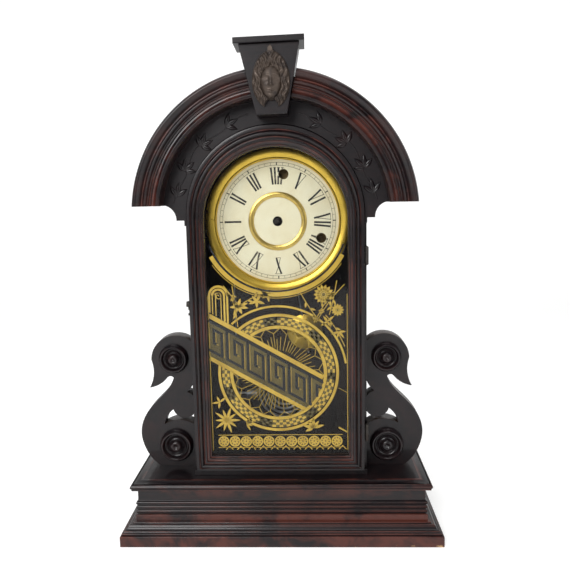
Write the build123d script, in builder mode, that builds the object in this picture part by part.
from build123d import *
import math
import os

# A shelf clock with a carved arched top, scroll brackets and a moulded base.
# Millimetres. X is across the clock, -Y is its front, Z is up from the shelf.

os.makedirs("parts", exist_ok=True)

# Base
foot_width = 339.4
foot_depth = 138.0
nose_reach = 8.0
foot_fascia = 10.9
foot_height = 21.8
foot_thickness = 14.7
plinth_wall = 12.0
plinth_height = 57.5
reed_zone_bottom = 29.6
reed_pitch = 4.75
reed_count = 3
reed_depth = 2.0
plinth_step = 2.4
top_board_thickness = 8.5
top_front_overhang = 8.1
top_side_overhang = 6.3

# Case
case_half_width = 93.0
case_wall = 8.0
case_front_setback = 38.0
case_back_setback = 128.0
back_board_thickness = 6.0
arch_spring_z = 344.0
arch_board_wall = 5.5
front_layer = 8.0
door_gap = 1.0

# Door
door_half_width = 89.5
door_front_setback = 24.2
door_bead_rise = 1.9
door_bottom_z = 72.8
sight_half_width = 73.5
sight_spring_z = 339.0
sight_bottom_z = 87.6
glass_setback = 33.0
glass_thickness = 2.0
glass_margin = 3.5
glass_play = 0.3
door_rest_gap = 0.3

# Hood, panel and keystone
panel_radius = 137.0
panel_ear_half_width = 101.0
panel_ear_z = 340.5
hood_inner_radius = 114.0
hood_outer_radius = 142.5
hood_depth = 23.0
hood_end_z = 355.8
hood_lip_half_width = 111.5
keystone_bottom_z = 440.5
keystone_top_z = 505.8
keystone_bottom_width = 29.6
keystone_top_width = 57.6
keystone_setback = 4.0
keystone_lean = 1.4
cap_width = 67.0
cap_depth = 40.0
cap_thickness = 5.4

# Mask
mask_width = 36.0
mask_height = 60.0
mask_centre_z = 475.0
mask_nail_z = 498.5

# Scroll brackets
scroll_thickness = 18.0
scroll_setback = 55.0
upper_lobe_centre = (113.6, 188.1)
upper_lobe_radius = 27.0
upper_rosette_centre = (115.6, 189.6)
upper_rosette_radius = 16.0
lower_rosette_centre = (116.6, 90.5)
lower_rosette_radius = 18.5
rosette_depth = 8.0

# Dial
dial_z = 337.0
dial_slip = 1.0
dial_setback = 60.0
dial_pan_radius = 77.0
dial_sheet = 0.8
dial_rim = 6.0
bezel_inner_radius = 64.8
bezel_depth = 5.5
centre_ring_inner_radius = 25.3
centre_ring_outer_radius = 31.0
centre_hole_radius = 5.2
winding_hole_radius = 5.4
winding_hole_circle = 49.7
winding_hole_half_angle = 51.9
dial_turned = 120.0

# Movement, with places given from the centre arbor
plate_front_setback = 76.0
plate_back_setback = 110.0
plate_thickness = 2.0
winding_x = 39.1
winding_z = -30.6
pivot_radius = 0.9
arbor_radius = 1.3
running_play = 0.05
end_play = 0.3
pillar_radius = 3.0
stud_radius = 1.2

# Gears, each pair sharing one module
great_module = 0.9
great_teeth = 54
great_pinion_leaves = 10
second_module = 0.85
second_teeth = 45
centre_pinion_leaves = 15
centre_module = 0.56
centre_teeth = 80
third_pinion_leaves = 8
third_module = 0.44
third_teeth = 84
escape_pinion_leaves = 8
escape_radius = 14.3
escape_teeth = 40
minute_module = 0.7
cannon_teeth = 12
minute_teeth = 36
minute_pinion_leaves = 10
hour_teeth = 40
pin_module = 0.6
pin_teeth = 56
warning_pinion_leaves = 8
warning_module = 0.5
warning_teeth = 50
fly_pinion_leaves = 8

# Pendulum, drawn at the right end of its swing
verge_height = 47.6
pendulum_length = 183.0
pendulum_swing = 8.84
bob_radius = 20.7
bob_thickness = 9.0
rod_radius = 1.0
pendulum_setback = 119.0

# Gong
gong_centre_z = 130.0
gong_wire = 2.6
gong_inner_radius = 12.0
gong_pitch = 5.2
gong_turns = 4

# Worked out places
front_y = -(foot_depth - nose_reach) / 2
rear_y = front_y + foot_depth
case_front_y = front_y + case_front_setback
case_back_y = front_y + case_back_setback
panel_front_y = case_front_y - front_layer
top_z = plinth_height + top_board_thickness
door_front_y = front_y + door_front_setback
door_back_y = case_front_y - door_rest_gap
glass_y = front_y + glass_setback
scroll_y = front_y + scroll_setback
dial_y = front_y + dial_setback
plate_y = front_y + plate_front_setback
back_plate_y = front_y + plate_back_setback
pendulum_y = front_y + pendulum_setback
inner_half_width = case_half_width - case_wall


def facing(y):
    """The upright plane at depth y, seen from the front: x across, z up, normal towards the back."""
    return Plane(origin=(0, y, 0), x_dir=(-1, 0, 0), z_dir=(0, 1, 0))


def front(x, z):
    """A point of a sketch on a facing plane from its real x and z."""
    return (-x, z)


def along(x, z):
    """The line parallel to Y through x and z, as a turning axis."""
    return Axis((x, 0, z), (0, 1, 0))


# Foot moulding, three lengths mitred at the front corners
foot_profile = [
    (0, 0), (0, foot_fascia), (2.2, 12.0), (1.2, 14.2), (4.4, 15.4), (6.6, 17.2),
    (7.2, 19.8), (10.4, 20.4), (11.0, foot_height), (foot_thickness, foot_height), (foot_thickness, 0),
]
foot_half = foot_width / 2
body_half = foot_half - foot_thickness
body_front_y = front_y + foot_thickness

with BuildPart() as foot_moulding_front:
    with BuildSketch(Plane.YZ.offset(-foot_half)):
        with BuildLine():
            Polyline(*[(front_y + d, z) for d, z in foot_profile], close=True)
        make_face()
    extrude(amount=foot_width)
    with BuildSketch(Plane.XY):
        with BuildLine():
            Polyline(
                (-foot_half, front_y), (foot_half, front_y),
                (body_half, body_front_y), (-body_half, body_front_y), close=True,
            )
        make_face()
    extrude(amount=foot_height, mode=Mode.INTERSECT)
foot_moulding_front.part.label = "foot_moulding_front"
export_step(foot_moulding_front.part, "parts/foot_moulding_front.step")

with BuildPart() as foot_moulding_sides:
    with BuildSketch(Plane.XZ.offset(-rear_y)):
        with BuildLine():
            Polyline(*[(foot_half - d, z) for d, z in foot_profile], close=True)
        make_face()
        mirror(about=Plane.YZ)
    extrude(amount=foot_depth)
    with BuildSketch(Plane.XY):
        with BuildLine():
            Polyline(
                (foot_half, front_y), (foot_half, rear_y), (body_half, rear_y),
                (body_half, body_front_y), close=True,
            )
        make_face()
        mirror(about=Plane.YZ)
    extrude(amount=foot_height, mode=Mode.INTERSECT)
foot_moulding_sides.part.label = "foot_moulding_sides"
export_step(foot_moulding_sides.part, "parts/foot_moulding_sides.step")

# Plinth boards, reeded on the front and the sides
reed_bottoms = [reed_zone_bottom + reed_pitch * n for n in range(reed_count)]
reed_top = reed_zone_bottom + reed_pitch * reed_count


def plinth_outline(place):
    """The section of a plinth board; place turns depth and height into sketch coordinates."""
    Line(place(plinth_wall, 0), place(0, 0))
    Line(place(0, 0), place(0, reed_zone_bottom - 1))
    Line(place(0, reed_zone_bottom - 1), place(plinth_step, reed_zone_bottom))
    for z in reed_bottoms:
        ThreePointArc(
            place(plinth_step, z), place(plinth_step - reed_depth, z + reed_pitch / 2),
            place(plinth_step, z + reed_pitch),
        )
    Line(place(plinth_step, reed_top), place(plinth_step, plinth_height))
    Line(place(plinth_step, plinth_height), place(plinth_wall, plinth_height))
    Line(place(plinth_wall, plinth_height), place(plinth_wall, 0))


inner_body_half = body_half - plinth_wall
inner_front_y = body_front_y + plinth_wall
back_board_depth = 9.0
board_joint = 0.05

with BuildPart() as plinth_front:
    with BuildSketch(Plane.YZ.offset(-body_half)):
        with BuildLine():
            plinth_outline(lambda d, z: (body_front_y + d, z))
        make_face()
    extrude(amount=2 * body_half)
    with BuildSketch(Plane.XY):
        with BuildLine():
            Polyline(
                (-body_half, body_front_y), (body_half, body_front_y),
                (inner_body_half, inner_front_y), (-inner_body_half, inner_front_y), close=True,
            )
        make_face()
    extrude(amount=plinth_height, mode=Mode.INTERSECT)
plinth_front.part.label = "plinth_front"
export_step(plinth_front.part, "parts/plinth_front.step")

with BuildPart() as plinth_boards:
    with BuildSketch(Plane.XZ.offset(-rear_y)):
        with BuildLine():
            plinth_outline(lambda d, z: (body_half - d, z))
        make_face()
        mirror(about=Plane.YZ)
    extrude(amount=rear_y - body_front_y)
    with BuildSketch(Plane.XY):
        with BuildLine():
            Polyline(
                (body_half, body_front_y), (body_half, rear_y), (inner_body_half, rear_y),
                (inner_body_half, inner_front_y), close=True,
            )
        make_face()
        mirror(about=Plane.YZ)
    extrude(amount=plinth_height, mode=Mode.INTERSECT)
    with BuildSketch(facing(rear_y - back_board_depth)):
        with Locations(front(0, plinth_height / 2)):
            Rectangle(2 * (inner_body_half - board_joint), plinth_height)
    extrude(amount=back_board_depth)
plinth_boards.part.label = "plinth_boards"
export_step(plinth_boards.part, "parts/plinth_boards.step")

# Plinth top board with its moulded front and side edges
top_front_y = body_front_y + plinth_step - top_front_overhang
top_half = body_half - plinth_step + top_side_overhang
edge_fascia = 1.8
edge_bead = 4.8
edge_slope = 9.5


def top_edge(place):
    """The moulded edge of the top board from its underside to its flat."""
    Line(place(1.4, plinth_height), place(1.4, plinth_height + edge_fascia))
    ThreePointArc(
        place(1.4, plinth_height + edge_fascia),
        place(0, plinth_height + edge_fascia + edge_bead / 2),
        place(1.4, plinth_height + edge_fascia + edge_bead),
    )
    Line(place(1.4, plinth_height + edge_fascia + edge_bead), place(edge_slope, top_z))


with BuildPart() as plinth_top:
    with BuildSketch(Plane.YZ.offset(-top_half)):
        with BuildLine():
            top_edge(lambda d, z: (top_front_y + d, z))
            Polyline(
                (top_front_y + edge_slope, top_z), (rear_y, top_z), (rear_y, plinth_height),
                (top_front_y + 1.4, plinth_height),
            )
        make_face()
    extrude(amount=2 * top_half)
    with BuildSketch(Plane.XZ.offset(-rear_y)):
        with BuildLine():
            top_edge(lambda d, z: (top_half - d, z))
            top_edge(lambda d, z: (d - top_half, z))
            Line((top_half - edge_slope, top_z), (edge_slope - top_half, top_z))
            Line((top_half - 1.4, plinth_height), (1.4 - top_half, plinth_height))
        make_face()
    extrude(amount=rear_y - top_front_y, mode=Mode.INTERSECT)
plinth_top.part.label = "plinth_top"
export_step(plinth_top.part, "parts/plinth_top.step")

# Case boards
side_height = arch_spring_z - top_z
case_depth = case_back_y - case_front_y


def side_board(hand):
    """One upright side board; hand is -1 on the left and 1 on the right."""
    with BuildSketch(Plane.XY.offset(top_z)) as drawn:
        with Locations((hand * (case_half_width - case_wall / 2), (case_front_y + case_back_y) / 2)):
            Rectangle(case_wall, case_depth)
    extrude(drawn.sketch, amount=side_height)


with BuildPart() as case_left:
    side_board(-1)
case_left.part.label = "case_left"
export_step(case_left.part, "parts/case_left.step")

with BuildPart() as case_right:
    side_board(1)
case_right.part.label = "case_right"
export_step(case_right.part, "parts/case_right.step")

with BuildPart() as case_arch:
    with BuildSketch(facing(case_front_y)):
        with Locations(front(0, arch_spring_z)):
            Circle(case_half_width)
            Circle(case_half_width - arch_board_wall, mode=Mode.SUBTRACT)
        with Locations(front(0, arch_spring_z - case_half_width)):
            Rectangle(2 * case_half_width, 2 * case_half_width, mode=Mode.SUBTRACT)
    extrude(amount=case_depth)
case_arch.part.label = "case_arch"
export_step(case_arch.part, "parts/case_arch.step")

# The movement's four feet stand on the back board, held by screws from behind
foot_places = [(-42.0, 36.0), (42.0, 36.0), (-winding_x, -59.0), (winding_x, -59.0)]
foot_radius = 4.5
screw_radius = 1.6
screw_bite = 6.0


def arched_board(half_width, spring_z, bottom_z):
    """A board with a straight foot and a half round top."""
    with Locations(front(0, spring_z)):
        Circle(half_width)
    with Locations(front(0, (spring_z + bottom_z) / 2)):
        Rectangle(2 * half_width, spring_z - bottom_z)


with BuildPart() as case_back:
    with BuildSketch(facing(case_back_y)):
        arched_board(case_half_width, arch_spring_z, top_z)
        with Locations(*[front(x, dial_z + z) for x, z in foot_places]):
            Circle(screw_radius + running_play, mode=Mode.SUBTRACT)
    extrude(amount=back_board_thickness)
case_back.part.label = "case_back"
export_step(case_back.part, "parts/case_back.step")

with BuildPart() as front_sill:
    with BuildSketch(facing(panel_front_y)):
        with Locations(front(0, (top_z + door_bottom_z - door_gap) / 2)):
            Rectangle(2 * case_half_width, door_bottom_z - door_gap - top_z)
    extrude(amount=front_layer)
front_sill.part.label = "front_sill"
export_step(front_sill.part, "parts/front_sill.step")

# Keystone, its cap and the shape they share with what they cut into
lean = math.radians(keystone_lean)


def leaned(x, z):
    """A point of the keystone turned a little to the left about its foot."""
    rise = z - keystone_bottom_z
    return (x * math.cos(lean) - rise * math.sin(lean), z + x * math.sin(lean))


keystone_corners = [
    leaned(-keystone_bottom_width / 2, keystone_bottom_z), leaned(keystone_bottom_width / 2, keystone_bottom_z),
    leaned(keystone_top_width / 2, keystone_top_z), leaned(-keystone_top_width / 2, keystone_top_z),
]
cap_corners = [
    leaned(-cap_width / 2, keystone_top_z), leaned(cap_width / 2, keystone_top_z),
    leaned(cap_width / 2, keystone_top_z + cap_thickness), leaned(-cap_width / 2, keystone_top_z + cap_thickness),
]
keystone_y = front_y + keystone_setback


def keystone_outline():
    """The face of the keystone."""
    with BuildLine() as edge:
        Polyline(*[front(x, z) for x, z in keystone_corners], close=True)
    make_face(edge.edges())


with BuildPart() as keystone:
    with BuildSketch(facing(keystone_y)):
        keystone_outline()
    extrude(amount=case_front_y - keystone_y)
keystone.part.label = "keystone"
export_step(keystone.part, "parts/keystone.step")

with BuildPart() as keystone_cap:
    with BuildSketch(facing(front_y)):
        with BuildLine():
            Polyline(*[front(x, z) for x, z in cap_corners], close=True)
        make_face()
    extrude(amount=cap_depth)
keystone_cap.part.label = "keystone_cap"
export_step(keystone_cap.part, "parts/keystone_cap.step")

# Carved panel round the door, with an ear at each foot
panel_inner_radius = door_half_width + door_gap
ear_middle = (104.2, 350.8)

with BuildPart() as arch_panel:
    with BuildSketch(facing(panel_front_y)):
        with Locations(front(0, arch_spring_z)):
            Circle(panel_radius)
        with Locations(front(0, hood_end_z - panel_radius)):
            Rectangle(2 * panel_radius + 2, 2 * panel_radius, mode=Mode.SUBTRACT)
        for hand in (-1, 1):
            with BuildLine():
                Line(front(hand * case_half_width, panel_ear_z), front(hand * panel_ear_half_width, panel_ear_z))
                ThreePointArc(
                    front(hand * panel_ear_half_width, panel_ear_z), front(hand * ear_middle[0], ear_middle[1]),
                    front(hand * hood_lip_half_width, hood_end_z),
                )
                Polyline(
                    front(hand * hood_lip_half_width, hood_end_z), front(hand * 84.0, hood_end_z),
                    front(hand * 84.0, arch_spring_z - 9), front(hand * case_half_width, arch_spring_z - 9),
                    front(hand * case_half_width, panel_ear_z),
                )
            make_face()
        with Locations(front(0, arch_spring_z)):
            Circle(panel_inner_radius, mode=Mode.SUBTRACT)
        with Locations(front(0, arch_spring_z - panel_radius / 2)):
            Rectangle(2 * panel_inner_radius, panel_radius, mode=Mode.SUBTRACT)
    extrude(amount=front_layer)
    with BuildSketch(facing(panel_front_y)):
        keystone_outline()
    extrude(amount=front_layer, mode=Mode.SUBTRACT)
arch_panel.part.label = "arch_panel"
export_step(arch_panel.part, "parts/arch_panel.step")

# Hood moulding, turned to its profile and cut square at its ends
hood_front_y = panel_front_y - hood_depth
hood_ring = [
    (114.0, 23.0), (114.0, 4.0), (116.5, 1.8), (119.5, 3.4), (121.0, 6.4), (123.0, 6.4), (124.0, 4.6),
    (125.0, 4.6), (126.0, 5.6), (126.8, 3.2), (129.4, 1.2), (132.0, 3.0), (133.0, 5.0), (134.4, 1.6),
    (137.4, 0.0), (140.6, 1.8), (142.5, 6.2), (142.5, 23.0),
]

with BuildPart() as hood_moulding:
    with BuildSketch(Plane.YZ):
        with BuildLine():
            Polyline(
                *[(hood_front_y + d, arch_spring_z + r - 114.0 + hood_inner_radius) for r, d in hood_ring[:-2]],
                (hood_front_y + 6.2, arch_spring_z + hood_outer_radius),
                (hood_front_y + hood_depth, arch_spring_z + hood_outer_radius), close=True,
            )
        make_face()
    revolve(axis=along(0, arch_spring_z), revolution_arc=360)
    with BuildSketch(facing(hood_front_y)):
        with Locations(front(0, hood_end_z + hood_outer_radius)):
            Rectangle(2 * hood_outer_radius + 2, 2 * hood_outer_radius)
    extrude(amount=hood_depth, mode=Mode.INTERSECT)
    with BuildSketch(facing(hood_front_y)):
        keystone_outline()
    extrude(amount=hood_depth, mode=Mode.SUBTRACT)
hood_moulding.part.label = "hood_moulding"
export_step(hood_moulding.part, "parts/hood_moulding.step")

# Mask: a head in relief, flat at its back
mask_depth = nose_reach + keystone_setback


def egg(x, z, lift, rx, ry, rz):
    """An egg shape whose middle stands lift in front of the keystone."""
    return scale(Solid.make_sphere(1.0), by=(rx, ry, rz)).moved(Location((x, keystone_y - lift, z)))


head_lumps = [
    egg(0, mask_centre_z - 4.0, 0.0, mask_width * 0.33, mask_depth * 0.8, mask_height * 0.36),
    egg(0, mask_centre_z + 12.0, 0.0, mask_width * 0.42, mask_depth * 0.72, mask_height * 0.27),
    egg(0, mask_centre_z - 4.0, mask_depth * 0.5, 2.6, mask_depth * 0.5, 5.0),
    egg(-mask_width * 0.39, mask_centre_z - 9.0, 0.0, 3.6, 5.0, 17.0),
    egg(mask_width * 0.39, mask_centre_z - 9.0, 0.0, 3.6, 5.0, 17.0),
]
nail_radius = 1.2

with BuildPart() as mask:
    with BuildSketch(facing(keystone_y - 2.5)):
        with Locations(front(0, mask_centre_z)):
            Ellipse(mask_width / 2, mask_height / 2)
    extrude(amount=2.5)
    add(head_lumps)
    with BuildSketch(facing(keystone_y)):
        with Locations(front(0, mask_centre_z)):
            Rectangle(2 * mask_width, 2 * mask_height)
    extrude(amount=2 * mask_depth, mode=Mode.SUBTRACT)
    with BuildSketch(facing(keystone_y - mask_depth)):
        with Locations(front(0, mask_nail_z)):
            Circle(nail_radius + running_play)
    extrude(amount=mask_depth, mode=Mode.SUBTRACT)
mask.part.label = "mask"
export_step(mask.part, "parts/mask.step")

with BuildPart() as mask_nail:
    with BuildSketch(facing(keystone_y - mask_depth * 0.72)):
        with Locations(front(0, mask_nail_z)):
            Circle(nail_radius)
    extrude(amount=mask_depth * 0.72)
    with BuildSketch(facing(keystone_y - mask_depth * 0.72 - 0.9)):
        with Locations(front(0, mask_nail_z)):
            Circle(2.2)
    extrude(amount=0.9)
mask_nail.part.label = "mask_nail"
export_step(mask_nail.part, "parts/mask_nail.step")


def scroll_outline(hand):
    """The swan shaped bracket beside the case; hand is -1 on the left and 1 on the right."""
    def at(x, z):
        return front(hand * x, z)

    edge = case_half_width
    lobe_x, lobe_z = upper_lobe_centre
    crown = (lobe_x, lobe_z + upper_lobe_radius)
    breast = (lobe_x + upper_lobe_radius, lobe_z)
    with BuildLine() as drawn:
        ThreePointArc(at(edge, 205.2), at(lobe_x - 14.5, lobe_z + 22.8), at(*crown))
        ThreePointArc(at(*crown), at(lobe_x + 19.1, lobe_z + 19.1), at(*breast))
        ThreePointArc(at(*breast), at(138.7, 172.5), at(143.8, 156.8))
        ThreePointArc(at(143.8, 156.8), at(132.4, 160.6), at(124.2, 167.6))
        ThreePointArc(at(124.2, 167.6), at(120.6, 169.6), at(116.9, 167.8))
        Spline(
            at(116.9, 167.8), at(123.2, 155.8), at(138.8, 139.5), at(151.1, 123.1), at(155.8, 105.0),
            at(152.6, 88.5), at(144.4, 74.0), at(135.0, top_z),
        )
        Line(at(135.0, top_z), at(edge, top_z))
        Line(at(edge, top_z), at(edge, 112.0))
        Spline(at(edge, 112.0), at(109.0, 119.2), at(129.4, 114.6))
        ThreePointArc(at(129.4, 114.6), at(126.4, 123.0), at(118.8, 131.5))
        ThreePointArc(at(118.8, 131.5), at(105.0, 121.8), at(edge, 132.0))
        Line(at(edge, 132.0), at(edge, 142.0))
        ThreePointArc(at(edge, 142.0), at(97.6, 148.4), at(102.8, 151.2))
        ThreePointArc(at(102.8, 151.2), at(96.6, 158.6), at(edge, 167.4))
        Line(at(edge, 167.4), at(edge, 205.2))
    make_face(drawn.edges())


with BuildPart() as scroll_left:
    with BuildSketch(facing(scroll_y)):
        scroll_outline(-1)
    extrude(amount=scroll_thickness)
scroll_left.part.label = "scroll_left"
export_step(scroll_left.part, "parts/scroll_left.step")

with BuildPart() as scroll_right:
    with BuildSketch(facing(scroll_y)):
        scroll_outline(1)
    extrude(amount=scroll_thickness)
scroll_right.part.label = "scroll_right"
export_step(scroll_right.part, "parts/scroll_right.step")

# Four turned rosettes, a large ring round a domed button with a dimple
rosette_shape = [
    (0, 0.0), (0, 6.4), (0.14, 6.8), (0.24, 8.0), (0.34, 8.0), (0.44, 6.6), (0.50, 4.0),
    (0.66, 3.2), (0.74, 4.6), (0.84, 6.4), (0.95, 5.4), (1.0, 3.0), (1.0, 0.0),
]


with BuildPart() as rosettes:
    for hand in (-1, 1):
        for (x, z), radius in (
            (upper_rosette_centre, upper_rosette_radius), (lower_rosette_centre, lower_rosette_radius),
        ):
            with BuildSketch(Plane(origin=(hand * x, scroll_y, z), x_dir=(1, 0, 0), z_dir=(0, 0, 1))):
                with BuildLine():
                    Polyline(*[(radius * r, -rosette_depth * d / 8.0) for r, d in rosette_shape], close=True)
                make_face()
            revolve(axis=along(hand * x, z), revolution_arc=360)
rosettes.part.label = "rosettes"
export_step(rosettes.part, "parts/rosettes.step")

# Door frame: stepped mouldings that fall to the glass
sight_steps = [(1.2, 7.4), (3.6, 4.4), (6.2, 1.5), (glass_setback - door_front_setback, 0.0)]
rebate = glass_margin + glass_play


def sight_shape(margin):
    """The sight opening, grown on every side by margin."""
    arched_board(sight_half_width + margin, sight_spring_z, sight_bottom_z - margin)


with BuildPart() as door_frame:
    with BuildSketch(facing(door_front_y)):
        arched_board(door_half_width, arch_spring_z, door_bottom_z)
    extrude(amount=door_back_y - door_front_y)
    with BuildSketch(facing(door_front_y - door_bead_rise)):
        arched_board(door_half_width - 3.4, arch_spring_z, door_bottom_z + 3.4)
        with Locations(front(0, arch_spring_z)):
            Circle(door_half_width - 8.6, mode=Mode.SUBTRACT)
        with Locations(front(0, (arch_spring_z + door_bottom_z + 8.6) / 2)):
            Rectangle(2 * (door_half_width - 8.6), arch_spring_z - door_bottom_z - 8.6, mode=Mode.SUBTRACT)
    extrude(amount=door_bead_rise)
    bead_edges = door_frame.faces().sort_by(Axis.Y)[0].edges()
    fillet(bead_edges, radius=door_bead_rise * 0.9)
    for sunk, margin in sight_steps:
        with BuildSketch(facing(door_front_y - 2 * door_bead_rise)):
            sight_shape(margin)
        extrude(amount=sunk + 2 * door_bead_rise, mode=Mode.SUBTRACT)
    with BuildSketch(facing(glass_y)):
        sight_shape(rebate)
    extrude(amount=door_back_y - glass_y, mode=Mode.SUBTRACT)
door_frame.part.label = "door_frame"
export_step(door_frame.part, "parts/door_frame.step")

with BuildPart() as door_glass:
    with BuildSketch(facing(glass_y)):
        sight_shape(glass_margin)
    extrude(amount=glass_thickness)
door_glass.part.label = "door_glass"
export_step(door_glass.part, "parts/door_glass.step")

with BuildPart() as glazing_beads:
    with BuildSketch(facing(glass_y + glass_thickness)):
        sight_shape(rebate)
        arched_board(sight_half_width, sight_spring_z, sight_bottom_z)
        with Locations(front(0, sight_spring_z)):
            Circle(sight_half_width, mode=Mode.SUBTRACT)
        with Locations(front(0, (sight_spring_z + sight_bottom_z) / 2)):
            Rectangle(2 * sight_half_width, sight_spring_z - sight_bottom_z, mode=Mode.SUBTRACT)
    extrude(amount=2.2)
glazing_beads.part.label = "glazing_beads"
export_step(glazing_beads.part, "parts/glazing_beads.step")

# Hinges on the right edge of the door
hinge_x = 92.2
hinge_y = front_y + 29.0
hinge_heights = [114.0, 302.0]
hinge_height = 18.0
knuckle_radius = 2.0
hinge_pin_radius = 1.0
leaf_thickness = 0.9
leaf_gap = 0.05
case_leaf_rear_y = case_front_y + 12.0
door_leaf_rear_y = door_back_y - 0.6

with BuildPart() as hinge_pins:
    for z in hinge_heights:
        with BuildSketch(Plane.XY.offset(z - hinge_height / 2 - 0.8)):
            with Locations((hinge_x, hinge_y)):
                Circle(hinge_pin_radius)
        extrude(amount=hinge_height + 1.6)
hinge_pins.part.label = "hinge_pins"
export_step(hinge_pins.part, "parts/hinge_pins.step")

with BuildPart() as case_hinge_leaves:
    for z in hinge_heights:
        for low, high in ((-hinge_height / 2, -hinge_height / 6), (hinge_height / 6, hinge_height / 2)):
            with BuildSketch(Plane.XY.offset(z + low)):
                with Locations((hinge_x, hinge_y)):
                    Circle(knuckle_radius)
            extrude(amount=high - low)
            with BuildSketch(Plane.XY.offset(z + low)):
                with Locations((case_half_width + leaf_thickness / 2, (hinge_y + case_front_y) / 2)):
                    Rectangle(leaf_thickness, case_front_y - hinge_y)
            extrude(amount=high - low)
        with BuildSketch(Plane.XY.offset(z - hinge_height / 2)):
            with Locations((case_half_width + leaf_thickness / 2, (case_front_y + case_leaf_rear_y) / 2)):
                Rectangle(leaf_thickness, case_leaf_rear_y - case_front_y)
        extrude(amount=hinge_height)
        with BuildSketch(Plane.XY.offset(z - hinge_height / 2)):
            with Locations((hinge_x, hinge_y)):
                Circle(hinge_pin_radius + running_play)
        extrude(amount=hinge_height, mode=Mode.SUBTRACT)
case_hinge_leaves.part.label = "case_hinge_leaves"
export_step(case_hinge_leaves.part, "parts/case_hinge_leaves.step")

with BuildPart() as door_hinge_leaves:
    for z in hinge_heights:
        with BuildSketch(Plane.XY.offset(z - hinge_height / 6 + leaf_gap)):
            with Locations((hinge_x, hinge_y)):
                Circle(knuckle_radius)
            with Locations((door_half_width + leaf_thickness / 2, (hinge_y + door_leaf_rear_y) / 2)):
                Rectangle(leaf_thickness, door_leaf_rear_y - hinge_y)
            with Locations(((door_half_width + hinge_x) / 2, hinge_y)):
                Rectangle(hinge_x - door_half_width, leaf_thickness)
            with Locations((hinge_x, hinge_y)):
                Circle(hinge_pin_radius + running_play, mode=Mode.SUBTRACT)
        extrude(amount=hinge_height / 3 - 2 * leaf_gap)
door_hinge_leaves.part.label = "door_hinge_leaves"
export_step(door_hinge_leaves.part, "parts/door_hinge_leaves.step")

# Side hook on the left, hanging open, and the stud that it takes
hook_y = front_y + 42.4
hook_z = 252.0
hook_reach = 8.0
hook_thickness = 1.4
hook_pivot_radius = 1.5
stud_play = 0.5
hook_face_x = -(case_half_width + 0.3)
latch_stud_radius = 1.2
latch_stud_y = hook_y - hook_reach


def hook_point(radius, angle):
    """A point of the hook from its pivot; angle runs from straight down towards the front."""
    turn = math.radians(angle)
    return (hook_y - radius * math.sin(turn), hook_z - radius * math.cos(turn))


slot_in = hook_reach - latch_stud_radius - stud_play
slot_out = hook_reach + latch_stud_radius + stud_play

with BuildPart() as hook_latch:
    with BuildSketch(Plane.YZ.offset(hook_face_x - hook_thickness)):
        with BuildLine():
            Line(hook_point(3.0, -80), hook_point(slot_out + 2.4, -40))
            ThreePointArc(
                hook_point(slot_out + 2.4, -40), hook_point(slot_out + 2.4, -14), hook_point(slot_out + 2.4, 12),
            )
            Line(hook_point(slot_out + 2.4, 12), hook_point(slot_out, 15))
            ThreePointArc(hook_point(slot_out, 15), hook_point(slot_out, -2), hook_point(slot_out, -20))
            Line(hook_point(slot_out, -20), hook_point(slot_in, -20))
            ThreePointArc(hook_point(slot_in, -20), hook_point(slot_in, -4), hook_point(slot_in, 12))
            Line(hook_point(slot_in, 12), hook_point(3.0, 80))
            Line(hook_point(3.0, 80), hook_point(3.0, -80))
        make_face()
        with Locations((hook_y, hook_z)):
            Circle(3.4)
        with Locations((hook_y, hook_z)):
            Circle(hook_pivot_radius + running_play, mode=Mode.SUBTRACT)
    extrude(amount=hook_thickness)
hook_latch.part.label = "hook_latch"
export_step(hook_latch.part, "parts/hook_latch.step")

with BuildPart() as hook_screw:
    with BuildSketch(Plane.YZ.offset(-case_half_width - hook_thickness - 0.6)):
        with Locations((hook_y, hook_z)):
            Circle(hook_pivot_radius)
    extrude(amount=hook_thickness + 0.6)
    with BuildSketch(Plane.YZ.offset(-case_half_width - hook_thickness - 2.0)):
        with Locations((hook_y, hook_z)):
            Circle(3.0)
    extrude(amount=1.4)
hook_screw.part.label = "hook_screw"
export_step(hook_screw.part, "parts/hook_screw.step")

with BuildPart() as latch_stud:
    with BuildSketch(Plane.YZ.offset(hook_face_x - hook_thickness - 0.6)):
        with Locations((latch_stud_y, hook_z)):
            Circle(latch_stud_radius)
    extrude(amount=-door_half_width - (hook_face_x - hook_thickness - 0.6))
latch_stud.part.label = "latch_stud"
export_step(latch_stud.part, "parts/latch_stud.step")

# Dial pan, turned from upright so that the winding holes lie top and right


def dial_hole(side):
    """Where a winding hole lies on the turned dial."""
    turn = math.radians(-90 + side * winding_hole_half_angle + dial_turned)
    return (
        dial_slip + winding_hole_circle * math.cos(turn), dial_z + winding_hole_circle * math.sin(turn),
    )


with BuildPart() as dial_pan:
    with BuildSketch(facing(dial_y)):
        with Locations(front(dial_slip, dial_z)):
            Circle(dial_pan_radius)
    extrude(amount=dial_rim)
    with BuildSketch(facing(dial_y + dial_sheet)):
        with Locations(front(dial_slip, dial_z)):
            Circle(dial_pan_radius - dial_sheet)
    extrude(amount=dial_rim - dial_sheet, mode=Mode.SUBTRACT)
    with BuildSketch(facing(dial_y)):
        with Locations(front(dial_slip, dial_z)):
            Circle(centre_hole_radius)
        with Locations(front(*dial_hole(-1)), front(*dial_hole(1))):
            Circle(winding_hole_radius)
    extrude(amount=dial_sheet, mode=Mode.SUBTRACT)
dial_pan.part.label = "dial_pan"
export_step(dial_pan.part, "parts/dial_pan.step")

bezel_outer_radius = dial_pan_radius - 0.4
bezel_shape = [
    (0.0, 0.0), (0.0, 0.5), (0.25, 0.45), (0.36, 0.66), (0.62, 1.0), (0.86, 0.82), (1.0, 0.3), (1.0, 0.0),
]


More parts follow.
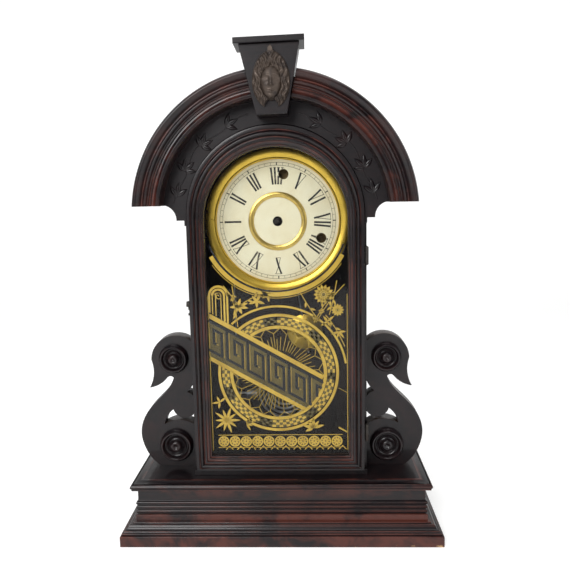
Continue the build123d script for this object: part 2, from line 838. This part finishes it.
def ring_profile(inner, outer, depth, shape):
    """A ring's section, given as shares of its width and depth, ready to turn about the dial's middle."""
    width = outer - inner
    with BuildLine() as drawn:
        Polyline(*[(dial_y - depth * d, dial_z + inner + width * w) for w, d in shape], close=True)
    make_face(drawn.edges())


with BuildPart() as dial_bezel:
    with BuildSketch(Plane.YZ.offset(dial_slip)):
        ring_profile(bezel_inner_radius, bezel_outer_radius, bezel_depth, bezel_shape)
    revolve(axis=along(dial_slip, dial_z), revolution_arc=360)
dial_bezel.part.label = "dial_bezel"
export_step(dial_bezel.part, "parts/dial_bezel.step")

with BuildPart() as dial_centre_ring:
    with BuildSketch(Plane.YZ.offset(dial_slip)):
        ring_profile(
            centre_ring_inner_radius, centre_ring_outer_radius, 1.6,
            [(0, 0), (0.12, 0.7), (0.4, 1.0), (0.6, 1.0), (0.88, 0.7), (1.0, 0)],
        )
    revolve(axis=along(dial_slip, dial_z), revolution_arc=360)
dial_centre_ring.part.label = "dial_centre_ring"
export_step(dial_centre_ring.part, "parts/dial_centre_ring.step")

block_inner_x = 68.0
block_height = 34.0

with BuildPart() as dial_blocks:
    for hand in (-1, 1):
        with BuildSketch(facing(dial_y + dial_rim)):
            with Locations(front(hand * (block_inner_x + inner_half_width) / 2, dial_z)):
                Rectangle(inner_half_width - block_inner_x, block_height)
        extrude(amount=9.0)
dial_blocks.part.label = "dial_blocks"
export_step(dial_blocks.part, "parts/dial_blocks.step")


def circle_meet(a, radius_a, b, radius_b, side):
    """The point at radius_a from a and radius_b from b, on one side of the line between them."""
    dx, dz = b[0] - a[0], b[1] - a[1]
    apart = math.hypot(dx, dz)
    run = (radius_a ** 2 - radius_b ** 2 + apart ** 2) / (2 * apart)
    rise = math.sqrt(radius_a ** 2 - run ** 2)
    return (a[0] + (dx * run - side * dz * rise) / apart, a[1] + (dz * run + side * dx * rise) / apart)


def spaced(start, reach, angle):
    """A point at a distance and an angle from another."""
    turn = math.radians(angle)
    return (start[0] + reach * math.cos(turn), start[1] + reach * math.sin(turn))


def bearing(a, b):
    """The angle in degrees of b seen from a."""
    return math.degrees(math.atan2(b[1] - a[1], b[0] - a[0]))


# Arbor places from the centre arbor
centre = (0.0, 0.0)
time_barrel = (winding_x, winding_z)
strike_barrel = (-winding_x, winding_z)
verge_place = (0.0, verge_height)
great_reach = great_module * (great_teeth + great_pinion_leaves) / 2
second_reach = second_module * (second_teeth + centre_pinion_leaves) / 2
third_reach = centre_module * (centre_teeth + third_pinion_leaves) / 2
escape_reach = third_module * (third_teeth + escape_pinion_leaves) / 2
minute_reach = minute_module * (cannon_teeth + minute_teeth) / 2
minute_pinion_module = 2 * minute_reach / (minute_pinion_leaves + hour_teeth)
pin_reach = pin_module * (pin_teeth + warning_pinion_leaves) / 2
warning_reach = warning_module * (warning_teeth + fly_pinion_leaves) / 2
escape_place = (0.0, verge_height - 22.0)
second_place = circle_meet(time_barrel, great_reach, centre, second_reach, 1)
third_place = circle_meet(centre, third_reach, escape_place, escape_reach, -1)
minute_place = spaced(centre, minute_reach, 200)
pin_place = spaced(strike_barrel, great_reach, 68)
warning_place = spaced(pin_place, pin_reach, 95)
fly_place = spaced(warning_place, warning_reach, 62)
hammer_place = (-53.0, -5.0)

# Depth of each layer between the plates
gap_front_y = plate_y + plate_thickness
great_layer = (gap_front_y + 2.0, 2.0)
ratchet_layer = (great_layer[0] + great_layer[1] + 0.3, 1.5)
spring_layer = (ratchet_layer[0] + ratchet_layer[1] + 0.5, 19.0)
rear_layer = (back_plate_y - 5.0, 1.5)
centre_layer = (front_y + 92.0, 1.5)
third_layer = (front_y + 101.0, 1.5)
escape_layer = (front_y + 97.0, 1.2)
warning_layer = (front_y + 97.0, 1.5)
minute_layer = (front_y + 73.0, 1.2)
hour_layer = (front_y + 68.2, 1.2)


def gear_points(place, module, teeth, phase):
    """A gear's outline: straight flanked teeth with clearance, one tooth pointing along phase."""
    radius = module * teeth / 2
    tip = radius + 0.6 * module
    root = radius - 0.95 * module
    pitch = 2 * math.pi / teeth
    points = []
    for n in range(teeth):
        middle = math.radians(phase) + n * pitch
        for reach, share in ((root, -0.26), (tip, -0.10), (tip, 0.10), (root, 0.26)):
            turn = middle + share * pitch
            points.append(front(place[0] + reach * math.cos(turn), dial_z + place[1] + reach * math.sin(turn)))
    return points


def gear(place, module, teeth, phase, layer, bore=0.0):
    """A toothed disc in its layer."""
    with BuildSketch(facing(layer[0])) as drawn:
        with BuildLine():
            Polyline(*gear_points(place, module, teeth, phase), close=True)
        make_face()
        if bore:
            with Locations(front(place[0], dial_z + place[1])):
                Circle(bore, mode=Mode.SUBTRACT)
    extrude(drawn.sketch, amount=layer[1])


def crossings(place, inner, outer, layer, count):
    """The openings between a wheel's arms."""
    with BuildSketch(facing(layer[0])) as drawn:
        with Locations(front(place[0], dial_z + place[1])):
            Circle(outer)
            Circle(inner, mode=Mode.SUBTRACT)
            with PolarLocations(0, count):
                Rectangle(2 * outer + 2, inner * 0.5, mode=Mode.SUBTRACT)
    extrude(drawn.sketch, amount=layer[1], mode=Mode.SUBTRACT)


def rod_y(place, radius, start_y, end_y):
    """A round rod parallel to Y."""
    with BuildSketch(facing(start_y)) as drawn:
        with Locations(front(place[0], dial_z + place[1])):
            Circle(radius)
    extrude(drawn.sketch, amount=end_y - start_y)


def arbor(place, radius=arbor_radius):
    """An arbor between the plates with a pivot at each end."""
    rod_y(place, pivot_radius, plate_y - 0.3, back_plate_y + plate_thickness + 0.3)
    rod_y(place, radius, gap_front_y + end_play, back_plate_y - end_play)


def plate_outline():
    """The movement plates, drawn in at the waist and the shoulders."""
    half = [(45, -62.5), (58, -40), (58, -4), (46, 10), (46, 41), (14, 56)]
    with BuildLine() as drawn:
        Polyline(
            *[front(x, dial_z + z) for x, z in half],
            *[front(-x, dial_z + z) for x, z in reversed(half)], close=True,
        )
    make_face(drawn.edges())


train_places = [
    centre, second_place, third_place, escape_place, pin_place, warning_place, fly_place, hammer_place,
    verge_place,
]
winding_radius = 3.0
front_arbor_radius = 1.7


def plate_holes(places, radius):
    """Holes through a plate."""
    with Locations(*[front(x, dial_z + z) for x, z in places]):
        Circle(radius, mode=Mode.SUBTRACT)


with BuildPart() as front_plate:
    with BuildSketch(facing(plate_y)):
        plate_outline()
        plate_holes(train_places, pivot_radius + running_play)
        plate_holes([centre], front_arbor_radius + running_play)
        plate_holes([time_barrel, strike_barrel], winding_radius + running_play)
        plate_holes(foot_places, screw_radius + running_play)
    extrude(amount=plate_thickness)
    rod_y(minute_place, stud_radius, front_y + 66.6, plate_y)
front_plate.part.label = "front_plate"
export_step(front_plate.part, "parts/front_plate.step")

with BuildPart() as back_plate:
    with BuildSketch(facing(back_plate_y)):
        plate_outline()
        plate_holes(train_places, pivot_radius + running_play)
        plate_holes([time_barrel, strike_barrel], winding_radius + running_play)
        plate_holes(foot_places, screw_radius + running_play)
    extrude(amount=plate_thickness)
back_plate.part.label = "back_plate"
export_step(back_plate.part, "parts/back_plate.step")

with BuildPart() as plate_pillars:
    for place in foot_places:
        rod_y(place, pillar_radius, gap_front_y, back_plate_y)
        rod_y(place, screw_radius, plate_y, back_plate_y + plate_thickness)
        rod_y(place, foot_radius, back_plate_y + plate_thickness, case_back_y)
        with BuildSketch(facing(case_back_y - screw_bite)):
            with Locations(front(place[0], dial_z + place[1])):
                Circle(screw_radius + running_play)
        extrude(amount=screw_bite, mode=Mode.SUBTRACT)
plate_pillars.part.label = "plate_pillars"
export_step(plate_pillars.part, "parts/plate_pillars.step")

with BuildPart() as movement_screws:
    for place in foot_places:
        rod_y(place, screw_radius, case_back_y - screw_bite, case_back_y + back_board_thickness)
        rod_y(place, 3.6, case_back_y + back_board_thickness, case_back_y + back_board_thickness + 1.8)
movement_screws.part.label = "movement_screws"
export_step(movement_screws.part, "parts/movement_screws.step")

# Power for each train: great wheel with its click, winding arbor with its ratchet, mainspring
ratchet_radius = 9.0
ratchet_teeth = 14
hub_radius = 4.6
spring_radius = 21.0
winding_square = 4.2
square_front_y = dial_y + dial_sheet + 3.0


def great_wheel(place, partner):
    """A great wheel loose on its winding arbor, with the click riveted to its back."""
    gear(place, great_module, great_teeth, bearing(place, partner), great_layer, winding_radius + running_play)
    crossings(place, 15.0, great_module * great_teeth / 2 - 4.0, great_layer, 5)
    with BuildSketch(facing(great_layer[0] + great_layer[1])) as drawn:
        with BuildLine():
            corners = [(-6, -1), (3, -1.6), (4.5, 0.2), (3, 1.8), (-6, 1.6)]
            Polyline(
                *[front(place[0] + a, dial_z + place[1] + ratchet_radius + 2.2 + b) for a, b in corners], close=True,
            )
        make_face()
    extrude(drawn.sketch, amount=ratchet_layer[0] + ratchet_layer[1] - great_layer[0] - great_layer[1])


def winding_arbor(place):
    """A winding arbor with a squared front end, its ratchet and the hub inside the mainspring."""
    rod_y(place, winding_radius, plate_y - 0.8, back_plate_y + plate_thickness + 0.3)
    rod_y(place, hub_radius, spring_layer[0], spring_layer[0] + spring_layer[1])
    with BuildSketch(facing(square_front_y)) as drawn:
        with Locations(front(place[0], dial_z + place[1])):
            Rectangle(winding_square, winding_square)
    extrude(drawn.sketch, amount=plate_y - 0.8 - square_front_y)
    points = []
    for n in range(ratchet_teeth):
        for reach, share in ((ratchet_radius - 2.0, 0.0), (ratchet_radius, 0.85)):
            turn = 2 * math.pi * (n + share) / ratchet_teeth
            points.append(front(place[0] + reach * math.cos(turn), dial_z + place[1] + reach * math.sin(turn)))
    with BuildSketch(facing(ratchet_layer[0])) as drawn:
        with BuildLine():
            Polyline(*points, close=True)
        make_face()
    extrude(drawn.sketch, amount=ratchet_layer[1])


def mainspring(place, pillar):
    """The wound mainspring as one closed ring round its hub, with the loop that holds it to a pillar."""
    with BuildSketch(facing(spring_layer[0])) as drawn:
        with Locations(front(place[0], dial_z + place[1])):
            Circle(spring_radius)
        with BuildLine():
            Polyline(
                front(place[0] - 2.2, dial_z + place[1] - spring_radius + 1),
                front(place[0] + 2.2, dial_z + place[1] - spring_radius + 1),
                front(pillar[0] + 4.4, dial_z + pillar[1]), front(pillar[0] - 4.4, dial_z + pillar[1]), close=True,
            )
        make_face()
        with Locations(front(pillar[0], dial_z + pillar[1])):
            Circle(pillar_radius + running_play, mode=Mode.SUBTRACT)
        with Locations(front(place[0], dial_z + place[1])):
            Circle(hub_radius + running_play, mode=Mode.SUBTRACT)
    extrude(drawn.sketch, amount=spring_layer[1])


with BuildPart() as time_great_wheel:
    great_wheel(time_barrel, second_place)
time_great_wheel.part.label = "time_great_wheel"
export_step(time_great_wheel.part, "parts/time_great_wheel.step")

with BuildPart() as time_winding_arbor:
    winding_arbor(time_barrel)
time_winding_arbor.part.label = "time_winding_arbor"
export_step(time_winding_arbor.part, "parts/time_winding_arbor.step")

with BuildPart() as time_mainspring:
    mainspring(time_barrel, foot_places[3])
time_mainspring.part.label = "time_mainspring"
export_step(time_mainspring.part, "parts/time_mainspring.step")

with BuildPart() as strike_great_wheel:
    great_wheel(strike_barrel, pin_place)
strike_great_wheel.part.label = "strike_great_wheel"
export_step(strike_great_wheel.part, "parts/strike_great_wheel.step")

with BuildPart() as strike_winding_arbor:
    winding_arbor(strike_barrel)
strike_winding_arbor.part.label = "strike_winding_arbor"
export_step(strike_winding_arbor.part, "parts/strike_winding_arbor.step")

with BuildPart() as strike_mainspring:
    mainspring(strike_barrel, foot_places[2])
strike_mainspring.part.label = "strike_mainspring"
export_step(strike_mainspring.part, "parts/strike_mainspring.step")

# Time train. A pinion shows a gap, not a tooth, to the wheel that drives it.


def gap_towards(place, partner, teeth):
    """The phase that puts a gap on the line to the partner."""
    return bearing(place, partner) + 180.0 / teeth


pinion_depth = 3.0
second_pinion_layer = (great_layer[0] - 0.5, pinion_depth)
centre_pinion_layer = (rear_layer[0] - 0.5, 2.5)
third_pinion_layer = (centre_layer[0] - 1.0, 4.0)
escape_pinion_layer = (third_layer[0] - 1.0, 4.0)
cannon_layer = (minute_layer[0] - 0.5, 2.8)
minute_pinion_layer = (hour_layer[0] - 0.4, minute_layer[0] - hour_layer[0] + 0.4)

with BuildPart() as second_wheel:
    arbor(second_place)
    gear(
        second_place, great_module, great_pinion_leaves,
        gap_towards(second_place, time_barrel, great_pinion_leaves), second_pinion_layer,
    )
    gear(second_place, second_module, second_teeth, bearing(second_place, centre), rear_layer)
    crossings(second_place, 4.5, second_module * second_teeth / 2 - 3.5, rear_layer, 4)
second_wheel.part.label = "second_wheel"
export_step(second_wheel.part, "parts/second_wheel.step")

with BuildPart() as centre_wheel:
    arbor(centre)
    rod_y(centre, front_arbor_radius, front_y + 57.0, gap_front_y + end_play)
    gear(
        centre, second_module, centre_pinion_leaves,
        gap_towards(centre, second_place, centre_pinion_leaves), centre_pinion_layer,
    )
    gear(centre, centre_module, centre_teeth, bearing(centre, third_place), centre_layer)
    crossings(centre, 5.0, centre_module * centre_teeth / 2 - 3.5, centre_layer, 4)
    gear(centre, minute_module, cannon_teeth, gap_towards(centre, minute_place, cannon_teeth), cannon_layer)
centre_wheel.part.label = "centre_wheel"
export_step(centre_wheel.part, "parts/centre_wheel.step")

with BuildPart() as third_wheel:
    arbor(third_place)
    gear(
        third_place, centre_module, third_pinion_leaves,
        gap_towards(third_place, centre, third_pinion_leaves), third_pinion_layer,
    )
    gear(third_place, third_module, third_teeth, bearing(third_place, escape_place), third_layer)
    crossings(third_place, 4.5, third_module * third_teeth / 2 - 3.2, third_layer, 4)
third_wheel.part.label = "third_wheel"
export_step(third_wheel.part, "parts/third_wheel.step")

with BuildPart() as escape_wheel:
    arbor(escape_place)
    gear(
        escape_place, third_module, escape_pinion_leaves,
        gap_towards(escape_place, third_place, escape_pinion_leaves), escape_pinion_layer,
    )
    escape_points = []
    for n in range(escape_teeth):
        for reach, share in ((escape_radius - 1.9, 0.0), (escape_radius, 0.62), (escape_radius, 0.74)):
            turn = 2 * math.pi * (n + share) / escape_teeth
            escape_points.append(
                front(escape_place[0] + reach * math.cos(turn), dial_z + escape_place[1] + reach * math.sin(turn))
            )
    with BuildSketch(facing(escape_layer[0])):
        with BuildLine():
            Polyline(*escape_points, close=True)
        make_face()
    extrude(amount=escape_layer[1])
    crossings(escape_place, 3.6, escape_radius - 4.0, escape_layer, 4)
escape_wheel.part.label = "escape_wheel"
export_step(escape_wheel.part, "parts/escape_wheel.step")

# Motion work behind the dial
with BuildPart() as minute_wheel:
    gear(
        minute_place, minute_module, minute_teeth, bearing(minute_place, centre), minute_layer,
        stud_radius + running_play,
    )
    gear(
        minute_place, minute_pinion_module, minute_pinion_leaves,
        gap_towards(minute_place, centre, minute_pinion_leaves), minute_pinion_layer, stud_radius + running_play,
    )
minute_wheel.part.label = "minute_wheel"
export_step(minute_wheel.part, "parts/minute_wheel.step")

with BuildPart() as hour_wheel:
    gear(centre, minute_pinion_module, hour_teeth, bearing(centre, minute_place), hour_layer)
    rod_y(centre, 2.9, front_y + 58.5, front_y + 70.0)
    with BuildSketch(facing(front_y + 58.0)):
        with Locations(front(0, dial_z)):
            Circle(front_arbor_radius + running_play)
    extrude(amount=14.0, mode=Mode.SUBTRACT)
hour_wheel.part.label = "hour_wheel"
export_step(hour_wheel.part, "parts/hour_wheel.step")

# Strike train
lift_pins = 8
lift_pin_circle = 12.0

with BuildPart() as pin_wheel:
    arbor(pin_place)
    gear(
        pin_place, great_module, great_pinion_leaves,
        gap_towards(pin_place, strike_barrel, great_pinion_leaves), second_pinion_layer,
    )
    gear(pin_place, pin_module, pin_teeth, bearing(pin_place, warning_place), rear_layer)
    crossings(pin_place, 4.5, lift_pin_circle - 1.5, rear_layer, 4)
    for n in range(lift_pins):
        rod_y(
            spaced(pin_place, lift_pin_circle, n * 360.0 / lift_pins), 0.5,
            rear_layer[0] + rear_layer[1], rear_layer[0] + rear_layer[1] + 2.0,
        )
pin_wheel.part.label = "pin_wheel"
export_step(pin_wheel.part, "parts/pin_wheel.step")

with BuildPart() as warning_wheel:
    arbor(warning_place)
    gear(
        warning_place, pin_module, warning_pinion_leaves,
        gap_towards(warning_place, pin_place, warning_pinion_leaves), centre_pinion_layer,
    )
    gear(warning_place, warning_module, warning_teeth, bearing(warning_place, fly_place), warning_layer)
    crossings(warning_place, 3.6, warning_module * warning_teeth / 2 - 2.6, warning_layer, 4)
warning_wheel.part.label = "warning_wheel"
export_step(warning_wheel.part, "parts/warning_wheel.step")

with BuildPart() as fly:
    arbor(fly_place)
    gear(
        fly_place, warning_module, fly_pinion_leaves,
        gap_towards(fly_place, warning_place, fly_pinion_leaves), (warning_layer[0] - 1.0, 4.0),
    )
    with BuildSketch(facing(front_y + 80.0)):
        with Locations(front(fly_place[0], dial_z + fly_place[1])):
            Rectangle(22.0, 0.8)
    extrude(amount=11.0)
fly.part.label = "fly"
export_step(fly.part, "parts/fly.step")


def strut(radius, start, end):
    """A round wire from one point to another, rounded where it starts."""
    run = Vector(*end) - Vector(*start)
    with BuildSketch(Plane(origin=start, z_dir=run.normalized())) as drawn:
        Circle(radius)
    extrude(drawn.sketch, amount=run.length)
    with Locations(start):
        Sphere(radius)


# Gong: a flat spiral of half turns round two centres, held in a block on the back board
gong_y = front_y + 116.0
gong_step = gong_pitch / 2
gong_radius = gong_wire / 2
gong_half_turns = 2 * gong_turns
gong_left = gong_inner_radius + gong_step * (gong_half_turns - 2)
block_top = 2.0
block_depth = 5.0
gong_tail = 5.6


def gong_point(n):
    """Where the spiral is after n half turns."""
    if n % 2 == 0:
        return (gong_inner_radius + n * gong_step, gong_centre_z)
    return (-gong_inner_radius - (n - 1) * gong_step, gong_centre_z)


def gong_middle(n):
    """The centre of half turn n."""
    return (gong_step if n % 2 else 0.0, gong_centre_z)


with BuildPart() as gong_coil:
    with BuildLine(Plane.XZ.offset(-gong_y)) as gong_path:
        Line((gong_inner_radius, gong_centre_z - gong_tail), (gong_inner_radius, gong_centre_z))
        for n in range(gong_half_turns):
            middle = gong_middle(n)
            rise = (gong_inner_radius + n * gong_step) * (1 if n % 2 == 0 else -1)
            ThreePointArc(gong_point(n), (middle[0], middle[1] + rise), gong_point(n + 1))
    with BuildSketch(Plane(origin=(gong_inner_radius, gong_y, gong_centre_z - gong_tail), z_dir=(0, 0, 1))):
        Circle(gong_radius)
    sweep(path=gong_path.wires()[0])
gong_coil.part.label = "gong_coil"
export_step(gong_coil.part, "parts/gong_coil.step")

gong_samples = []
for n in range(gong_half_turns):
    for k in range(60):
        turn = math.pi * (n + k / 60)
        reach = gong_inner_radius + n * gong_step
        gong_samples.append((gong_middle(n)[0] + reach * math.cos(turn), reach * math.sin(turn)))
least = min(
    math.dist(a, b) for i, a in enumerate(gong_samples) for j, b in enumerate(gong_samples) if j - i > 30
)
print("gong: least gap to itself", round(least - gong_wire, 2), "mm")

with BuildPart() as gong_block:
    with BuildSketch(facing(gong_y - 3.2)):
        with Locations(front(gong_inner_radius - 3.0, gong_centre_z - block_top - block_depth / 2)):
            Rectangle(10.0, block_depth)
    extrude(amount=case_back_y - gong_y + 3.2)
    with BuildSketch(Plane.XY.offset(gong_centre_z - gong_tail)):
        with Locations((gong_inner_radius, gong_y)):
            Circle(gong_radius + running_play)
    extrude(amount=gong_tail, mode=Mode.SUBTRACT)
gong_block.part.label = "gong_block"
export_step(gong_block.part, "parts/gong_block.step")

# Strike hammer, hung from its arbor in the plates and resting just off the gong
hammer_wire = 0.8
hammer_gap = 1.5
hammer_head_radius = 5.0
hammer_face_x = -gong_left - gong_radius - hammer_gap
hammer_wire_y = back_plate_y - 1.7
hammer_bend_z = 172.0

with BuildPart() as hammer:
    rod_y(hammer_place, pivot_radius, plate_y - 0.3, back_plate_y + plate_thickness + 0.3)
    rod_y(hammer_place, arbor_radius, gap_front_y + end_play, back_plate_y - end_play)
    hammer_x = hammer_place[0]
    strut(hammer_wire, (hammer_x, hammer_wire_y, dial_z + hammer_place[1]), (hammer_x, hammer_wire_y, hammer_bend_z))
    strut(hammer_wire, (hammer_x, hammer_wire_y, hammer_bend_z), (hammer_x, gong_y, hammer_bend_z - 8.0))
    strut(hammer_wire, (hammer_x, gong_y, hammer_bend_z - 8.0), (hammer_x, gong_y, gong_centre_z))
    strut(1.6, (hammer_x - 2.4, gong_y, gong_centre_z), (hammer_face_x - 12.0, gong_y, gong_centre_z))
    with BuildSketch(Plane.YZ.offset(hammer_face_x - 12.0)):
        with Locations((gong_y, gong_centre_z)):
            Circle(hammer_head_radius)
    extrude(amount=12.0)
hammer.part.label = "hammer"
export_step(hammer.part, "parts/hammer.step")

# Pendulum and verge, all turned about the verge pivot to the right end of the swing
swing = math.radians(pendulum_swing)


def swung(x, z):
    """A point given from the verge pivot with the pendulum hanging straight."""
    return (
        verge_place[0] + x * math.cos(swing) - z * math.sin(swing),
        dial_z + verge_place[1] + x * math.sin(swing) + z * math.cos(swing),
    )


def hang(drop, y=pendulum_y):
    """A plane square to the pendulum, a drop below the verge pivot, facing down along it."""
    x, z = swung(0, -drop)
    return Plane(origin=(x, y, z), x_dir=(0, 1, 0), z_dir=(math.sin(swing), 0, -math.cos(swing)))


pallet_reach = 17.3
pallet_angle = 40.0
crutch_y = front_y + 115.0
crutch_length = 38.0
prong_radius = 0.6
prong_x = rod_radius + prong_radius + 0.3

with BuildPart() as verge_and_crutch:
    rod_y(verge_place, pivot_radius, plate_y - 0.3, crutch_y + 0.7)
    rod_y(verge_place, arbor_radius, gap_front_y + end_play, back_plate_y - end_play)
    rod_y(verge_place, 2.4, escape_layer[0] - 0.5, escape_layer[0] + escape_layer[1] + 0.5)
    drop = verge_height - escape_place[1]
    for hand in (-1, 1):
        tip_x = hand * pallet_reach * math.sin(math.radians(pallet_angle))
        tip_z = pallet_reach * math.cos(math.radians(pallet_angle)) - drop
        with BuildSketch(facing(escape_layer[0] - 0.3)):
            with BuildLine():
                Polyline(
                    front(*swung(0, 1.6)), front(*swung(tip_x, tip_z + 1.4)), front(*swung(tip_x + hand * 0.6, tip_z)),
                    front(*swung(0, -1.6)), close=True,
                )
            make_face()
        extrude(amount=escape_layer[1] + 0.6)
    with BuildSketch(hang(0.2, crutch_y)):
        Circle(0.7)
    extrude(amount=crutch_length)
    foot_x, foot_z = swung(0, -crutch_length)
    left_x, left_z = swung(-prong_x, -crutch_length)
    right_x, right_z = swung(prong_x, -crutch_length)
    strut(prong_radius, (left_x, crutch_y, left_z), (right_x, crutch_y, right_z))
    strut(prong_radius, (left_x, crutch_y, left_z), (left_x, crutch_y + 6.0, left_z))
    strut(prong_radius, (right_x, crutch_y, right_z), (right_x, crutch_y + 6.0, right_z))
verge_and_crutch.part.label = "verge_and_crutch"
export_step(verge_and_crutch.part, "parts/verge_and_crutch.step")

post_radius = 2.2
post_rise = 6.2

with BuildPart() as suspension_post:
    rod_y(
        (verge_place[0], verge_place[1] + post_rise), post_radius, back_plate_y + plate_thickness, pendulum_y + 2.5,
    )
suspension_post.part.label = "suspension_post"
export_step(suspension_post.part, "parts/suspension_post.step")

spring_strip = 0.3
spring_width = 4.0
spring_top = -3.6
spring_bottom = 14.0

with BuildPart() as suspension_spring:
    with BuildSketch(hang(spring_top)):
        Rectangle(spring_width, spring_strip)
    extrude(amount=spring_bottom - spring_top)
suspension_spring.part.label = "suspension_spring"
export_step(suspension_spring.part, "parts/suspension_spring.step")

rod_end = pendulum_length + bob_radius + 5.5

with BuildPart() as pendulum_rod:
    with BuildSketch(hang(spring_bottom)):
        Circle(rod_radius)
    extrude(amount=rod_end - spring_bottom)
pendulum_rod.part.label = "pendulum_rod"
export_step(pendulum_rod.part, "parts/pendulum_rod.step")

bob_x, bob_z = swung(0, -pendulum_length)
bob_half = bob_thickness / 2
bob_edge = 0.5

with BuildPart() as pendulum_bob:
    with BuildSketch(Plane.YZ.offset(bob_x)):
        with BuildLine():
            ThreePointArc(
                (pendulum_y - bob_half, bob_z),
                (pendulum_y - bob_edge - 0.75 * (bob_half - bob_edge), bob_z + bob_radius / 2),
                (pendulum_y - bob_edge, bob_z + bob_radius),
            )
            Line((pendulum_y - bob_edge, bob_z + bob_radius), (pendulum_y + bob_edge, bob_z + bob_radius))
            ThreePointArc(
                (pendulum_y + bob_edge, bob_z + bob_radius),
                (pendulum_y + bob_edge + 0.75 * (bob_half - bob_edge), bob_z + bob_radius / 2),
                (pendulum_y + bob_half, bob_z),
            )
            Line((pendulum_y + bob_half, bob_z), (pendulum_y - bob_half, bob_z))
        make_face()
    revolve(axis=along(bob_x, bob_z), revolution_arc=360)
    with BuildSketch(hang(pendulum_length - bob_radius - 1)):
        Circle(rod_radius + running_play)
    extrude(amount=2 * bob_radius + 2, mode=Mode.SUBTRACT)
pendulum_bob.part.label = "pendulum_bob"
export_step(pendulum_bob.part, "parts/pendulum_bob.step")

with BuildPart() as rating_nut:
    with BuildSketch(hang(pendulum_length + bob_radius + 0.3)):
        Circle(3.2)
        Circle(rod_radius + running_play, mode=Mode.SUBTRACT)
    extrude(amount=2.6)
rating_nut.part.label = "rating_nut"
export_step(rating_nut.part, "parts/rating_nut.step")
